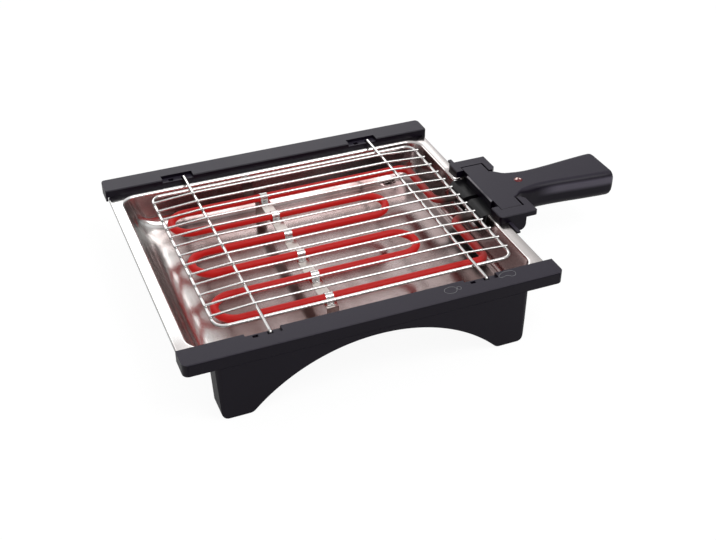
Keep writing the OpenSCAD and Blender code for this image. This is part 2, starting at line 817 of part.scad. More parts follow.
module pilot_lamp() at_grill() color([0.9, 0.5, 0.3]) translate([lens_x, 0, 0]) {
    lamp_r = 2.6;
    translate([0, 0, 58]) cylinder(r = lamp_r, h = body_h - shell - 1.6 - 58 - lamp_r);
    translate([0, 0, body_h - shell - 1.6 - lamp_r]) sphere(r = lamp_r, $fn = 32);
    for (s = [-1, 1]) translate([0, s * 1.2, 54]) cylinder(r = 0.4, h = 4);
}

// Ceramic blocks that clamp the cold pins to the leads
module terminal_blocks() at_grill() color([0.93, 0.91, 0.86]) for (s = [-1, 1]) difference() {
    translate([0, s * terminal_y, 0])
        block([191, 204], [-7, 7], [head_bottom + shell, body_h - shell - 1]);
    pins_at(pin_d);
    rod([pin_end_x - 1, s * terminal_y, pin_z], [205, s * terminal_y, pin_z], lead_d);
    translate([194, s * terminal_y, pin_z + 1]) cylinder(r = 1.6, h = 10);
}

switch_z = 62;

// Miniature switch above the plunger, held against the housing's roof
module safety_switch() at_grill() color([0.2, 0.2, 0.22]) difference() {
    block([191, 206], [-5, 5], [switch_z, body_h - shell]);
    for (x = [194, 203]) translate([x, 0, 65.2]) rotate([90, 0, 0]) cylinder(r = 1.3, h = 12, center = true);
}

plunger_travel = 3;

// Spring-loaded plunger, pressed in while the head stands on the bracket's base
module safety_plunger() at_grill() color([0.85, 0.85, 0.82]) translate([plunger_x, 0, 0]) {
    translate([0, 0, head_bottom]) cylinder(r = plunger_r, h = switch_z - head_bottom);
    translate([0, 0, head_bottom + shell + plunger_travel]) cylinder(r = 4.4, h = 1.2);
}

lead_d = 2.4;

lead_end_x = handle_reach - gland_len - 1;

// Line and neutral leads along the handle, from the terminals to the cord's inlet
module power_leads() at_grill() color([0.55, 0.35, 0.2]) for (s = [-1, 1])
    wire([
        [pin_end_x + 1, s * terminal_y, pin_z], [209, s * terminal_y, pin_z], [220, s * 12, pin_z],
        [238, s * 9.5, gland_z], [lead_end_x - 10, s * 8, gland_z], [lead_end_x, s * 2.2, gland_z]
    ], lead_d);

// Earth lead, from the nose past the switch and under the line and neutral leads
module earth_lead() at_grill() color([0.35, 0.6, 0.2]) wire([
    [nose_x1 + 0.3, 9, 60.5], [206, 9, 60.5], [222, 5.5, 60.5], [238, 5.5, 53],
    [lead_end_x - 10, 5.5, 53], [lead_end_x, 0.3, 53.4]
], lead_d);

// Rubber gland that the cord passes through, flush with the handle's end
module cord_gland() at_grill() color([0.1, 0.1, 0.1])
    translate([handle_reach - gland_len, 0, gland_z]) rotate([0, 90, 0]) difference() {
        cylinder(r = gland_r - 0.05, h = gland_len);
        translate([0, 0, -1]) cylinder(r = cord_bore_d / 2, h = gland_len + 2);
        translate([0, 0, gland_len - 1.5]) cylinder(r1 = cord_bore_d / 2, r2 = cord_bore_d / 2 + 1.6, h = 1.6);
    }

// ---------------------------------------------------------------- rack

rack_x = seat_x;
rack_corner_r = 11;
long_over = 2;
cross_bend_r = 2.4;
tip_gap = 0.65;
cross_reach = hole_y[1] - tip_gap - cross_d / 2 - cross_bend_r;
cross_tip_z = flange_top + 0.4;

module rack_frame() at_grill() color(chrome_colour) translate([rack_x, 0, frame_z]) {
    x = rack_len / 2 - frame_d / 2;
    y = rack_dep / 2 - frame_d / 2;
    r = rack_corner_r;
    for (s = [-1, 1]) {
        rod([-x + r, s * y, 0], [x - r, s * y, 0], frame_d);
        rod([s * x, -y + r, 0], [s * x, y - r, 0], frame_d);
    }
    for (sx = [0, 1], sy = [0, 1]) mirror([sx, 0, 0]) mirror([0, sy, 0])
        translate([x - r, y - r, 0]) bend(r, frame_d, 0, 90);
}

module rack_cross_wires() at_grill() color(chrome_colour)
    for (x = [-pocket_x + seat_x, pocket_x + seat_x], s = [0, 1]) mirror([0, s, 0]) {
        rod([x, -eps, cross_z], [x, cross_reach, cross_z], cross_d);
        translate([x, cross_reach, cross_z - cross_bend_r]) rotate([90, 0, 90])
            bend(cross_bend_r, cross_d, 0, 90);
        rod([x, cross_reach + cross_bend_r, cross_z - cross_bend_r],
            [x, cross_reach + cross_bend_r, cross_tip_z], cross_d);
    }

// Each lengthwise wire is welded to both cross wires and drawn down to the frame at its ends.
module rack_long_wires() at_grill() color(chrome_colour) {
    pitch = rack_dep / (long_count + 1);
    x_end = rack_len / 2 - frame_d / 2;
    for (i = [1:long_count]) {
        y = -rack_dep / 2 + i * pitch;
        wire([
            [rack_x - x_end - long_over, y, long_end_z], [rack_x - x_end, y, long_end_z],
            [-pocket_x + seat_x, y, long_z], [pocket_x + seat_x, y, long_z],
            [rack_x + x_end, y, long_end_z], [rack_x + x_end + long_over, y, long_end_z]
        ], long_d);
    }
}

tray();
front_rail();
rear_rail();
front_leg();
rear_leg();
frame_screws();
foot_pads();
control_bracket();
bracket_screws();
heating_element();
cold_pins();
support_strip();
tube_clips();
terminal_nose();
housing_upper();
housing_lower();
housing_screws();
pilot_lens();
pilot_lamp();
terminal_blocks();
safety_switch();
power_leads();
earth_lead();
cord_gland();
rack_frame();
rack_cross_wires();
rack_long_wires();
safety_plunger();
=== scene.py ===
import math

import bmesh
import bpy
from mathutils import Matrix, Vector, noise


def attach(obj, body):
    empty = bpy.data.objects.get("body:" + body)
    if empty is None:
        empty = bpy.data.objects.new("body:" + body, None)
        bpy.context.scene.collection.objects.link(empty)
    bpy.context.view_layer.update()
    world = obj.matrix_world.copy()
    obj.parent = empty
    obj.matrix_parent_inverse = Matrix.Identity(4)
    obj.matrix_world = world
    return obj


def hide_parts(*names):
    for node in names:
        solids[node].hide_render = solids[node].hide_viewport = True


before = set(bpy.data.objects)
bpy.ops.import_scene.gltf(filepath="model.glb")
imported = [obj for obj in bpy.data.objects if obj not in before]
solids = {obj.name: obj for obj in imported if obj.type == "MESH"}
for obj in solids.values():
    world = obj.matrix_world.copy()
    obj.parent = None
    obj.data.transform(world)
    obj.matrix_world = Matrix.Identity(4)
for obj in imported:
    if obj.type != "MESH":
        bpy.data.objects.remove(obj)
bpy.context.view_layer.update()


# ---- Drip tray ----
# One sheet of stainless steel, drawn into a deep well with a flat flange all round, its ends
# folded down. It is polished, with faint lines from the press, and the heat has tinted the well,
# whose colour is also painted darker and redder as a painted reflection of the glowing element.


def shown(name, data, body):
    """An object in the scene that rides on a body of the grill."""
    piece = bpy.data.objects.new(name, data)
    bpy.context.scene.collection.objects.link(piece)
    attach(piece, body)
    return piece


def formed(name, points, faces, body):
    """A smooth mesh of these points and faces."""
    skin = bpy.data.meshes.new(name)
    skin.from_pydata(points, [], faces)
    skin.shade_smooth()
    return shown(name, skin, body)


# Measures along X and Y are halves, out from the tray's middle
middle = -0.075
mouth, mouth_r = (0.172, 0.1365), 0.0155
flange_x, flange_y = 0.1845, 0.1625
rim_z, rim_r = 0.064, 0.003
floor_z = 0.023
notch_y, notch_z = 0.040, 0.046
lip_y, lip_z, fold_r = 0.1432, 0.059, 0.0012
sheet_gauge = 0.001
rim_steps, sweep_steps, fold_steps = 8, 14, 4
near = 1e-6  # points no farther apart than this are one


def section(draft, sweep):
    """The sheet from the flange down to the floor: how far out from the opening's edge each
    point lies, and its height. The wall leans in by its draft and ends in a swept corner."""
    drop = rim_z - rim_r - floor_z - sweep
    lean = math.acos(sweep / math.hypot(draft, drop)) - math.atan2(drop, draft)
    rim_turns = [math.radians(90 * i / rim_steps) for i in range(rim_steps + 1)]
    rim = [(rim_r - rim_r * math.sin(a), rim_z - rim_r + rim_r * math.cos(a))
           for a in rim_turns]
    sweep_turns = [-lean - (math.pi / 2 - lean) * i / sweep_steps
                   for i in range(sweep_steps + 1)]
    fillet = [(-draft + sweep * math.cos(a), floor_z + sweep + sweep * math.sin(a))
              for a in sweep_turns]
    top, foot = rim[-1], fillet[0]
    part = (top[1] - notch_z) / (top[1] - foot[1])
    return rim + [(top[0] + (foot[0] - top[0]) * part, notch_z)] + fillet


# The end away from the handle is drawn more gently than the others
end_lines = {1: section(draft=0.015, sweep=0.010), -1: section(draft=0.032, sweep=0.026)}
side_line = section(draft=0.019, sweep=0.016)
rim_rows = rim_steps + 2  # the rim's points, and the one level with the notch's foot
all_rows = rim_rows + sweep_steps + 1
foot_gain = 0.010  # how much wider a corner's radius is at the floor than at the opening
corner_r = [mouth_r + (side_line[row][0] if row < rim_rows - 1 else
                       foot_gain * (row - rim_rows + 1) / (all_rows - rim_rows))
            for row in range(all_rows)]
reach_x, reach_y = mouth[0] - mouth_r, mouth[1] - mouth_r
fold_x = flange_x - fold_r


def on_sheet(station, row):
    """The point of the sheet at this station round the opening, with row -1 on the flange's
    edge. A station is on an end, on a long side, or at a turn of a corner."""
    kind, first, second, turn = station
    if kind == "end":
        out, z = end_lines[first][row] if row >= 0 else (fold_x - mouth[0], rim_z)
        return first * (mouth[0] + out), second, z
    if kind == "side":
        out, z = side_line[row] if row >= 0 else (flange_y - mouth[1], rim_z)
        return second, first * (mouth[1] + out), z
    c, s = math.cos(turn), math.sin(turn)
    if row < 0:
        far = min((fold_x - reach_x) / max(c, 1e-9), (flange_y - reach_y) / max(s, 1e-9))
        return first * (reach_x + c * far), second * (reach_y + s * far), rim_z
    (out_x, end_z), (out_y, side_z), r = end_lines[first][row], side_line[row], corner_r[row]
    return (first * (mouth[0] + out_x - r + r * c), second * (mouth[1] + out_y - r + r * s),
            end_z * c * c + side_z * s * s)


# A corner also has stations where the folded lip stops and where the flange's edges meet
turns = sorted([math.radians(7.5 * i) for i in range(13)]
               + [math.atan2(lip_y - reach_y, fold_x - reach_x),
                  math.atan2(flange_y - reach_y, fold_x - reach_x)])
end_ys = [-0.09, -0.065, -notch_y, -0.02, 0.0, 0.02, notch_y, 0.065, 0.09]
side_xs = [-0.11 + 0.025 * i for i in range(11)]
stations = [("end", 1, y, 0) for y in end_ys] + [("corner", 1, 1, a) for a in turns]
stations += [("side", 1, x, 0) for x in side_xs[::-1]]
stations += [("corner", -1, 1, a) for a in turns[::-1]]
stations += [("end", -1, y, 0) for y in end_ys[::-1]] + [("corner", -1, -1, a) for a in turns]
stations += [("side", -1, x, 0) for x in side_xs]
stations += [("corner", 1, -1, a) for a in turns[::-1]]
count = len(stations)
sheet_points = [on_sheet(station, row) for row in range(-1, all_rows) for station in stations]


def in_notch(station):
    """Whether the sheet from this station to the next is cut away for the terminal nose."""
    return all(kind == "end" and first == 1 and abs(y) <= notch_y + near
               for kind, first, y, _ in (stations[station], stations[(station + 1) % count]))


sheet_faces = []
for row in range(all_rows):
    for station in range(count):
        if not (in_notch(station) and row < rim_rows):
            a, b = row * count + station, row * count + (station + 1) % count
            sheet_faces.append((a, a + count, b + count, b))
sheet_faces.append(tuple(range(all_rows * count, (all_rows + 1) * count)))

# The ends of the flange are folded down
fold_turns = [math.radians(90 * (i + 1) / fold_steps) for i in range(fold_steps)]
fold = [(fold_r * math.sin(a), fold_r * (math.cos(a) - 1)) for a in fold_turns]
fold.append((fold_r, lip_z - rim_z))
for station in range(count):
    here, there = sheet_points[station], sheet_points[(station + 1) % count]
    on_end = abs(here[0] - there[0]) < near and abs(abs(here[0]) - fold_x) < near
    if on_end and max(abs(here[1]), abs(there[1])) < lip_y + near and not in_notch(station):
        side = math.copysign(1, here[0])
        before = (station, (station + 1) % count)
        for out, down in fold:
            after = (len(sheet_points), len(sheet_points) + 1)
            sheet_points += [(edge[0] + side * out, edge[1], rim_z + down)
                             for edge in (here, there)]
            sheet_faces.append((after[0], before[0], before[1], after[1]))
            before = after

sheet_points = [(middle + x, y, z) for x, y, z in sheet_points]
tray = formed("tray_sheet", sheet_points, sheet_faces, "base")

# Points that meet become one, and the sheet is turned so that its floor, the largest face, looks up
joined = bmesh.new()
joined.from_mesh(tray.data)
bmesh.ops.remove_doubles(joined, verts=joined.verts, dist=near)
bmesh.ops.recalc_face_normals(joined, faces=joined.faces)
if max(joined.faces, key=lambda face: face.calc_area()).normal.z < 0:
    bmesh.ops.reverse_faces(joined, faces=joined.faces)
joined.to_mesh(tray.data)
joined.free()
gauge = tray.modifiers.new("gauge", "SOLIDIFY")
gauge.thickness, gauge.offset = sheet_gauge, -1.0
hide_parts("tray")


class Value:
    """One output of a shader node. Arithmetic on it adds Math nodes to its material."""

    def __init__(self, socket):
        self.socket = socket

    def node(self, kind, settings=None, inputs=None, out=0):
        """Any node: its settings are set first, and then what feeds its sockets."""
        made = self.socket.id_data.nodes.new(kind)
        for name, setting in (settings or {}).items():
            setattr(made, name, setting)
        for name, value in (inputs or {}).items():
            feed(made.inputs[name], value)
        return Value(made.outputs[out])

    def maths(self, operation, *others):
        terms = {place: term for place, term in enumerate((self, *others))}
        return self.node("ShaderNodeMath", {"operation": operation}, terms)

    def __add__(self, other):
        return self.maths("ADD", other)

    __radd__ = __add__

    def __mul__(self, other):
        return self.maths("MULTIPLY", other)

    __rmul__ = __mul__

    def __sub__(self, other):
        return self.maths("SUBTRACT", other)

    def __rsub__(self, other):
        return (self * -1.0) + other

    def axis(self, name):
        """One coordinate of a point or a direction."""
        return self.node("ShaderNodeSeparateXYZ", None, {0: self}, name)

    def scaled(self, x, y, z):
        """The point stretched along each axis, so that a pattern on it is drawn out."""
        return self.node("ShaderNodeVectorMath", {"operation": "MULTIPLY"}, {0: self, 1: (x, y, z)})

    def apart(self, x, y, z):
        """How far the point lies from another, in metres."""
        return self.node("ShaderNodeVectorMath", {"operation": "DISTANCE"},
                         {0: self, 1: (x, y, z)}, "Value")

    def noise(self, scale, detail=2.0, roughness=0.5):
        return self.node("ShaderNodeTexNoise", None,
                         {"Vector": self, "Scale": scale, "Detail": detail, "Roughness": roughness})

    def over(self, low, high):
        """0 where this is below low, 1 where it is above high, smooth between them."""
        return self.node("ShaderNodeMapRange", {"interpolation_type": "SMOOTHSTEP"},
                         {"Value": self, "From Min": low, "From Max": high})

    def mixed(self, first, second):
        """The first colour where this mask is 0, and the second where it is 1. A colour mix
        takes its factor and colours at sockets 0, 6 and 7, and gives its result at 2."""
        return self.node("ShaderNodeMix", {"data_type": "RGBA"}, {0: self, 6: first, 7: second}, 2)

    def bumped(self, strength, depth):
        """A normal for a surface whose relief is this mask, with its depth in metres."""
        return self.node("ShaderNodeBump", None,
                         {"Height": self, "Strength": strength, "Distance": depth})


def feed(socket, value):
    """Links a shader value into a socket, or sets the socket to a number or a colour."""
    if isinstance(value, Value):
        socket.id_data.links.new(value.socket, socket)
    elif isinstance(value, tuple) and len(value) == 3 and socket.type == "RGBA":
        socket.default_value = (*value, 1.0)
    else:
        socket.default_value = value


def finish(name):
    """A new material: itself, its shader's inputs, and the point on the surface in metres."""
    material = bpy.data.materials.new(name)
    material.use_nodes = True
    shader = next(n for n in material.node_tree.nodes if n.type == "BSDF_PRINCIPLED")
    points = material.node_tree.nodes.new("ShaderNodeTexCoord")
    return material, shader.inputs, Value(points.outputs["Object"])


def wear(material, *pieces):
    """Gives the pieces this one material."""
    for piece in pieces:
        piece.data.materials.clear()
        piece.data.materials.append(material)


steel, coat, at = finish("polished_steel")
along, across, height = at.axis("X"), at.axis("Y"), at.axis("Z")
grain = at.scaled(40, 900, 900).noise(1.0, 3.0, 0.6)
smears = at.noise(16.0, 3.0, 0.6)

# Heat has streaked the well with brown. Its floor and walls are also painted darker and redder,
# as a painted reflection of the glowing element and dark surroundings, and its cool end least of
# all
streaks = at.scaled(14, 5, 30).noise(1.0, 3.0, 0.55).over(0.35, 0.65)
in_the_well = 1 - height.over(0.053, 0.0625)
on_floor = 1 - height.over(0.026, 0.040)
cool_end = 1 - along.over(-0.222, -0.190)
walls = streaks.mixed((0.32, 0.28, 0.28), (0.21, 0.165, 0.165))
heat_tint_and_painted_reflection = on_floor.mixed(walls, streaks.mixed((0.38, 0.31, 0.305), (0.20, 0.135, 0.128)))
well = cool_end.mixed(heat_tint_and_painted_reflection, streaks.mixed((0.78, 0.775, 0.765), (0.52, 0.48, 0.465)))

# The flange is painted darker, as painted shade, towards the head's end and at a corner of the
# other end
painted_shade_near_head = along.over(0.0, 0.095)
painted_shade_at_corner = (1 - along.over(-0.245, -0.225)) * (1 - across.over(-0.130, -0.112))
flange = painted_shade_near_head.maths("MAXIMUM", painted_shade_at_corner * 0.8).mixed((0.92, 0.91, 0.90), (0.62, 0.58, 0.57))

feed(coat["Base Color"], in_the_well.mixed(flange, well))
feed(coat["Metallic"], 1.0)
feed(coat["Roughness"], 0.10 + smears * 0.10 + grain * 0.04)
feed(coat["Normal"], (grain * 0.25 + at.noise(9.0, 1.0) * 8.0).bumped(0.12, 0.0008))
wear(steel, tray)


# ---- Rails ----
# Two black bars, moulded hollow in heat-proof plastic with a fine satin grain on top. They clamp
# the tray's long edges, and the rack's wire ends stand in the holes of their pockets.


def moulded(node, body, edge):
    """The solid as its mould leaves it: every sharp edge a little rounded, every face flat."""
    form = bmesh.new()
    form.from_mesh(solids[node].data)
    bmesh.ops.remove_doubles(form, verts=form.verts, dist=2e-6)
    bmesh.ops.dissolve_limit(form, angle_limit=math.radians(0.5), verts=form.verts,
                             edges=form.edges)
    skin = bpy.data.meshes.new(node + "_moulding")
    form.to_mesh(skin)
    form.free()
    skin.shade_smooth()
    piece = shown(node + "_moulding", skin, body)
    softened = piece.modifiers.new("edges", "BEVEL")
    softened.width, softened.segments = edge, 2
    softened.limit_method, softened.angle_limit = "ANGLE", math.radians(30)
    softened.harden_normals = True
    piece.modifiers.new("flat faces", "WEIGHTED_NORMAL").mode = "FACE_AREA"
    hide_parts(node)
    return piece


black, coat, at = finish("black_plastic")
along, across, height = at.axis("X"), at.axis("Y"), at.axis("Z")
upward = at.node("ShaderNodeNewGeometry", out="Normal").axis("Z")
grain = at.noise(2600.0, 2.0, 0.6)
cloud = at.noise(22.0, 3.0)
scuffs = at.scaled(120, 700, 700).noise(1.0, 4.0, 0.7).over(0.60, 0.75)

# Tops are painted lighter and sides darker, as painted light falling from above
painted_shaded_sides = cloud.mixed((0.0030, 0.0010, 0.0060), (0.0050, 0.0026, 0.0086))
painted_lit_tops = cloud.mixed((0.0185, 0.0150, 0.0250), (0.0240, 0.0200, 0.0315))
painted_top_light = upward.over(0.4, 0.95).mixed(painted_shaded_sides, painted_lit_tops)

# Painted highlights: a band along the handle's sides, and a line along the head's edge over the
# tray
highlight_band_heights = height.over(0.056, 0.062) * (1 - height.over(0.065, 0.070))
painted_highlight_band = highlight_band_heights * (1 - upward.over(0.3, 0.8)) * along.over(0.165, 0.195)
head_edge = along.over(0.1068, 0.1072) * (1 - along.over(0.1083, 0.1087))
head_edge = head_edge * (1 - across.maths("ABSOLUTE").over(0.0278, 0.0284))
painted_edge_highlight = head_edge * height.over(0.0704, 0.0710) * cloud.over(0.30, 0.50)
with_painted_highlight = painted_highlight_band.mixed(painted_top_light, (0.100, 0.090, 0.118))

feed(coat["Base Color"], painted_edge_highlight.mixed(with_painted_highlight, (0.24, 0.23, 0.25)))
feed(coat["Roughness"], 0.32 + cloud * 0.08 + grain * 0.06 - scuffs * 0.05)
feed(coat["Specular IOR Level"], 0.20)
feed(coat["Normal"], grain.bumped(0.10, 0.0001))
for node in ("front_rail", "rear_rail"):
    wear(black, moulded(node, "base", 0.0007))

# Two small outline marks are printed on the front rail, beside its right pocket
ink_z, ink_r = 0.07188, 0.00028


def printed(name, outlines):
    """Thin closed lines of ink on the front rail's top, each given by its knots in plan. The
    bevel is one metre deep, so that a knot's radius is the line's own."""
    lines = bpy.data.curves.new(name, "CURVE")
    lines.dimensions, lines.bevel_depth, lines.resolution_u = "3D", 1.0, 8
    for outline in outlines:
        line = lines.splines.new("BEZIER")
        line.bezier_points.add(len(outline) - 1)
        for knot, (x, y) in zip(line.bezier_points, outline):
            knot.co, knot.radius = (x, y, ink_z), ink_r
            knot.handle_left_type = knot.handle_right_type = "AUTO"
        line.use_cyclic_u = True
    piece = shown(name, lines, "base")
    return piece


ink, coat, at = finish("grey_ink")
feed(coat["Base Color"], at.noise(1500.0, 2.0).mixed((0.13, 0.13, 0.14), (0.19, 0.19, 0.20)))
feed(coat["Roughness"], 0.6)
cutlet = [(-0.0075, -0.1530), (-0.0030, -0.1497), (0.0033, -0.1507), (0.0047, -0.1545),
          (0.0018, -0.1585), (-0.0040, -0.1588), (-0.0072, -0.1565)]
bone = [(0.0062, -0.1522), (0.0086, -0.1522), (0.0092, -0.1547), (0.0072, -0.1563),
        (0.0056, -0.1548)]
sausage = [(0.0505, -0.1533), (0.0550, -0.1480), (0.0618, -0.1468), (0.0675, -0.1490),
           (0.0675, -0.1538), (0.0630, -0.1560), (0.0590, -0.1532), (0.0535, -0.1540)]
wear(ink, printed("cutlet_mark", [cutlet, bone]), printed("sausage_mark", [sausage]))


# ---- Legs, feet and screws ----
# Each rail stands on one broad arched leg of the same plastic. Screws go up through leg and
# flange into the rail, and rubber pads are pressed into the feet.

for node in ("front_leg", "rear_leg"):
    wear(black, moulded(node, "base", 0.0010))

rubber, coat, at = finish("foot_rubber")
dust = at.noise(300.0, 4.0, 0.7)
feed(coat["Base Color"], dust.mixed((0.010, 0.010, 0.010), (0.028, 0.027, 0.026)))
feed(coat["Roughness"], 0.75 + dust * 0.15)
feed(coat["Normal"], dust.bumped(0.3, 0.0002))
wear(rubber, moulded("foot_pads", "base", 0.0005))

zinc, coat, at = finish("zinc_screws")
spangle = at.noise(900.0, 2.0)
feed(coat["Base Color"], spangle.mixed((0.50, 0.50, 0.50), (0.68, 0.68, 0.66)))
feed(coat["Metallic"], 1.0)
feed(coat["Roughness"], 0.28 + spangle * 0.14)
wear(zinc, solids["frame_screws"], solids["bracket_screws"], solids["housing_screws"])


# ---- Control bracket ----
# A black moulding screwed to the flange's end. Its two C-shaped arms guide the control head
# straight down onto its base.

wear(black, moulded("control_bracket", "base", 0.0006))


# ---- Heating element ----
# A steel-sheathed tube bent into six runs, glowing dull red. It fades to dark oxide grey
# towards the terminals, where no heat is made.

hot, coat, at = finish("glowing_tube")
scale_marks = at.noise(240.0, 4.0, 0.65)
patches = at.noise(30.0, 2.0)
near_terminals = at.axis("X").over(0.052, 0.080)
glowing = (1 - near_terminals) * (0.75 + patches * 0.5)
# The red base colour is painted glow; the sheath's own colour is the oxide grey by the terminals
feed(coat["Base Color"], near_terminals.mixed((0.30, 0.007, 0.007), (0.060, 0.042, 0.038)))
feed(coat["Roughness"], 0.42 + scale_marks * 0.2)
feed(coat["Emission Color"], glowing.mixed((0.0, 0.0, 0.0), (0.22, 0.004, 0.003)))
feed(coat["Emission Strength"], 1.0)
feed(coat["Specular IOR Level"], 0.25)
feed(coat["Normal"], scale_marks.bumped(0.15, 0.0002))
wear(hot, solids["heating_element"])

wear(zinc, solids["cold_pins"])


# ---- Support strip and clips ----
# A strip of bare steel stands on the tray's floor under the runs, and bright straps riveted
# to it hold each run down.

strip_steel, coat, at = finish("strip_steel")
grain = at.scaled(900, 60, 900).noise(1.0, 3.0)
feed(coat["Base Color"], grain.mixed((0.42, 0.38, 0.36), (0.62, 0.58, 0.55)))
feed(coat["Metallic"], 1.0)
feed(coat["Roughness"], 0.24 + grain * 0.12)
feed(coat["Normal"], grain.bumped(0.12, 0.0002))
wear(strip_steel, solids["support_strip"])

chrome, coat, at = finish("chrome_wire")
haze = at.noise(140.0, 3.0, 0.6)
feed(coat["Base Color"], haze.mixed((0.60, 0.59, 0.585), (0.76, 0.75, 0.74)))
feed(coat["Metallic"], 1.0)
feed(coat["Roughness"], 0.10 + haze * 0.10)
feed(coat["Normal"], haze.bumped(0.05, 0.0002))
wear(chrome, solids["tube_clips"])


# ---- Terminal nose ----
# Two lobes of dark heat-proof resin at the front of the control head. They close the tube's
# cold ends in and carry them over the tray's rim.

resin, coat, at = finish("heatproof_resin")
grit = at.noise(700.0, 3.0, 0.6)
feed(coat["Base Color"], grit.mixed((0.0025, 0.0022, 0.003), (0.005, 0.0045, 0.006)))
feed(coat["Roughness"], 0.26 + grit * 0.12)
feed(coat["Specular IOR Level"], 0.2)
feed(coat["Normal"], grit.bumped(0.15, 0.0001))
wear(resin, moulded("terminal_nose", "heating_unit", 0.0006))


# ---- Control housing with the handle ----
# Two black shells screwed together from below: the head that drops into the bracket, and the
# handle that the whole heating unit is lifted out by.

for node in ("housing_upper", "housing_lower"):
    wear(black, moulded(node, "heating_unit", 0.0004))


# ---- Pilot light ----
# A low domed lens of clear red plastic, turned and polished. It glows faintly red from the neon
# lamp behind it, and three small white highlights are painted on its dome.

lens_x, lens_top, lens_r = 0.155, 0.0734, 0.00455
collar_r, collar_z = 0.0056, (0.0679, 0.0695)
dome_r, dome_steps = 0.0094, 14
dome_turns = [math.asin(lens_r / dome_r) * (1 - i / dome_steps) for i in range(dome_steps)]
turn = [(collar_r, collar_z[0]), (collar_r, collar_z[1]), (lens_r, collar_z[1])]
turn += [(dome_r * math.sin(a), lens_top - dome_r + dome_r * math.cos(a)) for a in dome_turns]
turn += [(0.0, lens_top), (0.0, collar_z[0])]
lathe = bmesh.new()
profile = [lathe.verts.new((lens_x + r, 0, z)) for r, z in turn]
edges = [lathe.edges.new(pair) for pair in zip(profile, profile[1:])]
bmesh.ops.spin(lathe, geom=profile + edges, cent=(lens_x, 0, 0), axis=(0, 0, 1),
               angle=math.tau, steps=64, use_duplicate=False)
bmesh.ops.remove_doubles(lathe, verts=lathe.verts, dist=near)
bmesh.ops.recalc_face_normals(lathe, faces=lathe.faces)
skin = bpy.data.meshes.new("red_dome")
lathe.to_mesh(skin)
lathe.free()
skin.shade_smooth()
dome = shown("red_dome", skin, "heating_unit")
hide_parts("pilot_lens")

lens, coat, at = finish("red_lens")
# Three small white highlights are painted on the dome's top
painted_highlights = 0.0
for x, y in ((-0.0019, 0.0004), (0.0019, -0.0003), (-0.0003, 0.0024)):
    highlight_spot = at.apart(lens_x + x, y, lens_top - 0.0003)
    painted_highlights = (1 - highlight_spot.over(0.0006, 0.0016)) + painted_highlights
feed(coat["Base Color"], at.noise(500.0, 1.0).mixed((0.07, 0.004, 0.006), (0.12, 0.008, 0.010)))
feed(coat["Roughness"], 0.08 + at.noise(900.0, 1.0) * 0.05)
feed(coat["Emission Color"], painted_highlights.mixed((0.030, 0.002, 0.003), (1.0, 0.80, 0.72)))
feed(coat["Emission Strength"], 1.0)
wear(lens, dome)

lamp_glass, coat, at = finish("lamp_glass")
feed(coat["Base Color"], at.noise(400.0).mixed((0.9, 0.45, 0.3), (0.95, 0.6, 0.4)))
feed(coat["Roughness"], 0.1)
feed(coat["Emission Color"], (1.0, 0.25, 0.08))
feed(coat["Emission Strength"], 1.0)
wear(lamp_glass, solids["pilot_lamp"])


# ---- Inside the head ----
# Ceramic terminal blocks, the safety switch with its plunger, and the leads to the cord's
# inlet, which a rubber gland lines at the handle's end.

ceramic, coat, at = finish("ceramic")
glaze = at.noise(260.0, 3.0)
feed(coat["Base Color"], glaze.mixed((0.72, 0.69, 0.61), (0.80, 0.78, 0.72)))
feed(coat["Roughness"], 0.5 + glaze * 0.2)
feed(coat["Normal"], glaze.bumped(0.1, 0.0002))
wear(ceramic, solids["terminal_blocks"])

nylon, coat, at = finish("white_nylon")
haze = at.noise(300.0, 2.0)
feed(coat["Base Color"], haze.mixed((0.66, 0.66, 0.62), (0.74, 0.74, 0.70)))
feed(coat["Roughness"], 0.4 + haze * 0.15)
wear(nylon, solids["safety_plunger"])

wear(resin, solids["safety_switch"])

silicone, coat, at = finish("lead_insulation")
print_marks = at.noise(350.0, 2.0)
feed(coat["Base Color"], print_marks.mixed((0.20, 0.07, 0.03), (0.28, 0.11, 0.05)))
feed(coat["Roughness"], 0.45 + print_marks * 0.15)
wear(silicone, solids["power_leads"])

# The earth lead has a yellow stripe wound round its green insulation
earth_skin, coat, at = finish("earth_insulation")
wound = (at.axis("X") * 500.0 + at.axis("Z") * 400.0).maths("SINE").over(0.0, 0.2)
feed(coat["Base Color"], wound.mixed((0.03, 0.25, 0.04), (0.75, 0.62, 0.03)))
feed(coat["Roughness"], 0.45 + at.noise(350.0, 2.0) * 0.15)
wear(earth_skin, solids["earth_lead"])

wear(rubber, moulded("cord_gland", "heating_unit", 0.0003))


# ---- Rack ----
# Bright chromed steel wires welded into one grid: a round-cornered frame, long wires drawn down
# to its ends, and two cross wires whose bent ends stand in the rails' holes.


def bent(route, radius):
    """The route with each of its corners turned into an arc, in steps of at most nine degrees."""
    route = [Vector(point) for point in route]
    path = [route[0]]
    for before, corner, after in zip(route, route[1:], route[2:]):
        back, on = (before - corner).normalized(), (after - corner).normalized()
        turned = math.pi - back.angle(on)
        reach = radius * math.tan(turned / 2)
        centre = corner + (back + on).normalized() * (radius / math.cos(turned / 2))
        start, stop = corner + back * reach - centre, corner + on * reach - centre
        steps = max(2, math.ceil(math.degrees(turned) / 9))
        path += [centre + start.slerp(stop, i / steps).normalized() * radius
                 for i in range(steps + 1)]
    return path + [route[-1]]


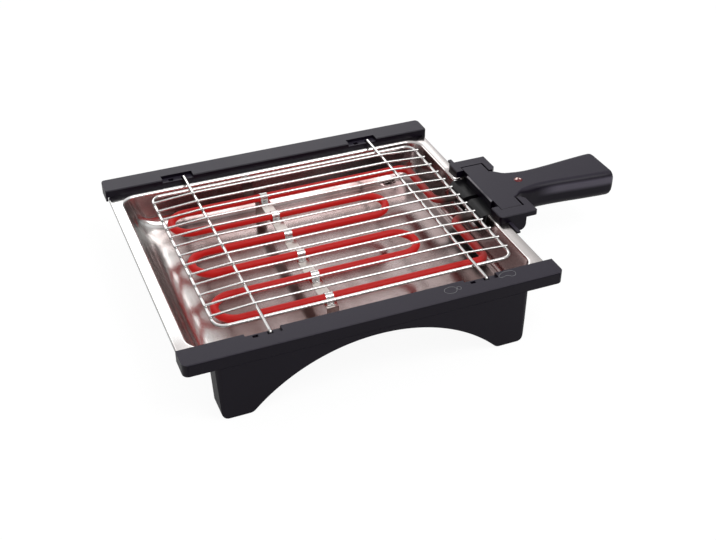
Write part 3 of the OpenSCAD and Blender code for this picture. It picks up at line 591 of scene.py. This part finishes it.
def drawn_wires(name, routes, thickness, node, closed=False):
    """Round wires along these routes, with square ends and a bevel like the ink's."""
    wires = bpy.data.curves.new(name, "CURVE")
    wires.dimensions, wires.bevel_depth, wires.bevel_resolution = "3D", 1.0, 5
    wires.use_fill_caps = True
    for route in routes:
        wire = wires.splines.new("POLY")
        wire.points.add(len(route) - 1)
        for knot, point in zip(wire.points, route):
            knot.co, knot.radius = (*point, 1.0), thickness / 2
        wire.use_cyclic_u = closed
    piece = shown(name, wires, "rack")
    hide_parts(node)
    wear(chrome, piece)


rack_x = -0.068  # the rack's middle, along X

frame_d, frame_z, frame_bend = 0.0036, 0.0670, 0.011
end_x, side_y = 0.1507, 0.1207
loop = bent([(rack_x, -side_y, frame_z), (rack_x + end_x, -side_y, frame_z),
             (rack_x + end_x, side_y, frame_z), (rack_x - end_x, side_y, frame_z),
             (rack_x - end_x, -side_y, frame_z), (rack_x, -side_y, frame_z)], frame_bend)[:-1]
drawn_wires("frame_wire", [loop], frame_d, "rack_frame", closed=True)

cross_d, cross_z, foot_bend = 0.0034, 0.0702, 0.0024
foot_y, foot_z = 0.14755, 0.0644
cross_xs = (rack_x - 0.108, rack_x + 0.108)
crossing = [bent([(x, -foot_y, foot_z), (x, -foot_y, cross_z),
                  (x, foot_y, cross_z), (x, foot_y, foot_z)], foot_bend) for x in cross_xs]
drawn_wires("cross_wires", crossing, cross_d, "rack_cross_wires")

long_d, low_z, high_z, set_down = 0.0023, 0.06965, 0.07275, 0.012
long_ys, beyond = [0.0175 * i for i in range(-6, 7)], 0.002
running = [bent([(rack_x - end_x - beyond, y, low_z), (rack_x - end_x, y, low_z),
                 (cross_xs[0], y, high_z), (cross_xs[1], y, high_z),
                 (rack_x + end_x, y, low_z), (rack_x + end_x + beyond, y, low_z)], set_down)
           for y in long_ys]
drawn_wires("long_wires", running, long_d, "rack_long_wires")

# A bead of melted steel at every weld, long wires to cross wires and both to the frame
bead_r, bead_flat, ripple = 0.0017, 0.45, 0.16
on_cross_z, on_end_z, on_side_z = 0.07175, 0.0687, 0.0686
welds = [(x, y, on_cross_z) for x in cross_xs for y in long_ys]
welds += [(rack_x + s * end_x, y, on_end_z) for s in (-1, 1) for y in long_ys]
welds += [(x, s * side_y, on_side_z) for x in cross_xs for s in (-1, 1)]
beads = bmesh.new()
for weld in map(Vector, welds):
    bead = bmesh.ops.create_icosphere(beads, subdivisions=2, radius=bead_r)["verts"]
    for vert in bead:
        swell = 1 + ripple * noise.noise(vert.co * 900 + weld * 60)
        vert.co = weld + vert.co * swell * Vector((1.0, 1.0, bead_flat))
for face in beads.faces:
    face.smooth = True
skin = bpy.data.meshes.new("weld_beads")
beads.to_mesh(skin)
beads.free()
welded = shown("weld_beads", skin, "rack")
wear(chrome, welded)


# ---- Table, studio light and camera ----
# The grill stands on a plain white table top, with a white backdrop behind it, a soft sky over
# it and one soft lamp in front.

table_size, table_back = 14, 3
bpy.ops.mesh.primitive_plane_add(size=table_size, location=(0, table_back, 0))
table_top = bpy.context.object
table_top.name = "table_top"
white, coat, at = finish("white_table")
feed(coat["Base Color"], at.noise(3.0).mixed((0.55, 0.55, 0.55), (0.58, 0.58, 0.58)))
feed(coat["Roughness"], 0.9)
feed(coat["Specular IOR Level"], 0.1)

# It looks white to the camera and in what mirrors it, and still takes a faint shadow
paper = at.node("ShaderNodeEmission", None, {"Color": (1.0, 1.0, 1.0), "Strength": 1.1})
seen = at.node("ShaderNodeLightPath", out="Is Camera Ray")
mirrored = at.node("ShaderNodeLightPath", out="Is Glossy Ray")
output = next(n for n in white.node_tree.nodes if n.type == "OUTPUT_MATERIAL")
shaded = Value(output.inputs["Surface"].links[0].from_socket)
share = seen * 0.85 + mirrored * 0.2
surface = at.node("ShaderNodeMixShader", None, {0: share, 1: shaded, 2: paper})
feed(output.inputs["Surface"], surface)
wear(white, table_top)

world = bpy.data.worlds.new("studio")
world.use_nodes = True
bpy.context.scene.world = world
sky = world.node_tree.nodes["Background"]
toward = Value(world.node_tree.nodes.new("ShaderNodeTexCoord").outputs["Generated"])
seen = toward.node("ShaderNodeLightPath", out="Is Camera Ray")
height = toward.axis("Z")
overhead = height.over(0.1, 0.8) * 0.70

# The backdrop is brightest in a low band behind the rails, and ends before the handle
low_band = height.over(0.22, 0.36) * (1 - height.over(0.48, 0.58))
low_band = low_band * (1 - toward.axis("X").over(0.36, 0.48))
backdrop = toward.axis("Y").over(0.55, 0.85) * (0.4 + low_band * 2.2)
feed(sky.inputs["Color"], (1.0, 1.0, 1.0))
feed(sky.inputs["Strength"], (0.10 + overhead + backdrop) * (1 - seen) + seen)

key_width, key_watts = 0.9, 12.0
key_place, key_target = Vector((0.5, -0.8, 1.5)), Vector((0.0, 0.0, 0.05))
key = bpy.data.lights.new("key", "AREA")
key.shape, key.size, key.energy = "SQUARE", key_width, key_watts
key_stand = bpy.data.objects.new("key", key)
key_stand.location = key_place
key_stand.rotation_euler = (key_target - key_place).to_track_quat("-Z", "Y").to_euler()
bpy.context.scene.collection.objects.link(key_stand)

lens_mm, sensor_mm = 56.8, 36.0
azimuth, elevation, roll = -22.36, 35.06, 0.06
view = bpy.data.cameras.new("camera")
view.lens, view.sensor_width, view.sensor_fit = lens_mm, sensor_mm, "HORIZONTAL"
view.clip_start, view.clip_end = 0.01, 50.0
camera = bpy.data.objects.new("camera", view)
camera.location = (-0.40485, -0.90774, 0.69154)
camera.rotation_euler = (math.radians(90 - elevation), 0, math.radians(azimuth))
camera.rotation_euler.rotate_axis("Z", math.radians(roll))
bpy.context.scene.collection.objects.link(camera)
bpy.context.scene.camera = camera
bpy.context.scene.view_settings.view_transform = "Standard"
